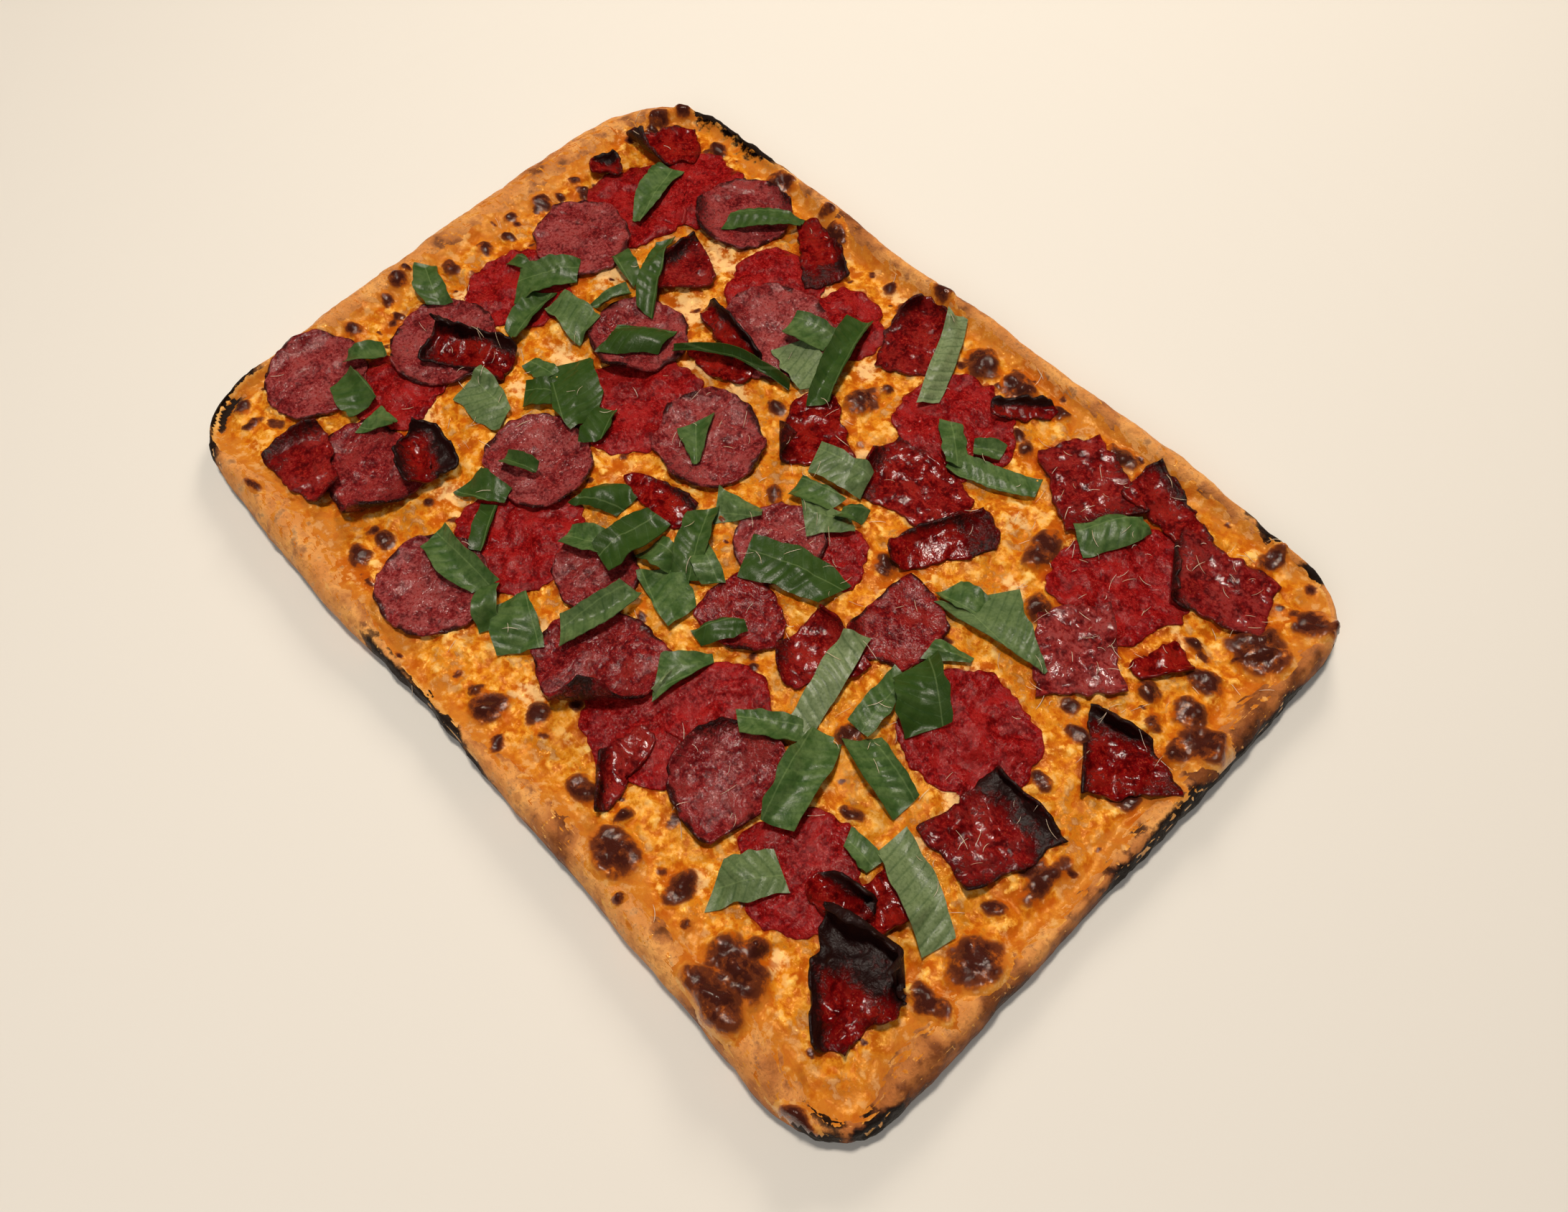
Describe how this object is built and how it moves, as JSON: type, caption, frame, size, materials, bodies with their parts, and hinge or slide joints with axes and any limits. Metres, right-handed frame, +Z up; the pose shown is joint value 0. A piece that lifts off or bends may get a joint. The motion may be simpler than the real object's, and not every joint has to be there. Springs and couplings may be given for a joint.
{
  "type": "pan pizza",
  "caption": "Rectangular pan pizza with flat and crisped salami, curled coppa, blistered cheese and torn basil.",
  "frame": {"origin": "middle of the flat underside of the crust", "axes": "+X along the long side, +Y across it, +Z up out of the topping"},
  "size_m": [0.442, 0.3102, 0.0266],
  "materials": {
    "dough": "baked, soft and floury, browned on the high spots",
    "cheese": "melted and oily, blistered brown",
    "salami": "thin cured slices, marbled with fat",
    "crisped_salami": "cured slices with a pale bloom of fat and burnt edges",
    "coppa": "dark glossy meat with burnt edges",
    "basil": "fresh torn leaf with a dull sheen",
    "grated_cheese": "dry fine shreds"
  },
  "bodies": {
    "root": {"crust": "dough", "cheese": "cheese", "salami_flat_01": "salami", "salami_flat_02": "salami", "salami_flat_03": "salami", "salami_flat_04": "salami", "salami_flat_05": "salami", "salami_flat_06": "salami", "salami_flat_07": "salami", "salami_flat_08": "salami", "salami_flat_09": "salami", "salami_flat_10": "salami", "salami_flat_11": "salami", "salami_flat_12": "salami", "salami_flat_13": "salami", "salami_flat_14": "salami", "salami_flat_15": "salami", "salami_crisp_01": "crisped_salami", "salami_crisp_02": "crisped_salami", "salami_crisp_03": "crisped_salami", "salami_crisp_04": "crisped_salami", "salami_crisp_05": "crisped_salami", "salami_crisp_06": "crisped_salami", "salami_crisp_07": "crisped_salami", "salami_crisp_08": "crisped_salami", "salami_crisp_09": "crisped_salami", "salami_crisp_10": "crisped_salami", "salami_crisp_11": "crisped_salami", "salami_crisp_12": "crisped_salami", "salami_crisp_13": "crisped_salami", "salami_crisp_14": "crisped_salami", "salami_crisp_15": "crisped_salami", "salami_crisp_16": "crisped_salami", "coppa_01": "coppa", "coppa_02": "coppa", "coppa_03": "coppa", "coppa_04": "coppa", "coppa_05": "coppa", "coppa_06": "coppa", "coppa_07": "coppa", "coppa_08": "coppa", "coppa_09": "coppa", "coppa_10": "coppa", "coppa_11": "coppa", "coppa_12": "coppa", "coppa_13": "coppa", "coppa_14": "coppa", "coppa_15": "coppa", "coppa_16": "coppa", "coppa_17": "coppa", "coppa_18": "coppa", "coppa_19": "coppa", "coppa_20": "coppa", "coppa_21": "coppa", "coppa_22": "coppa", "coppa_23": "coppa", "coppa_24": "coppa", "coppa_25": "coppa", "coppa_26": "coppa", "coppa_27": "coppa"}
  },
  "joints": []
}
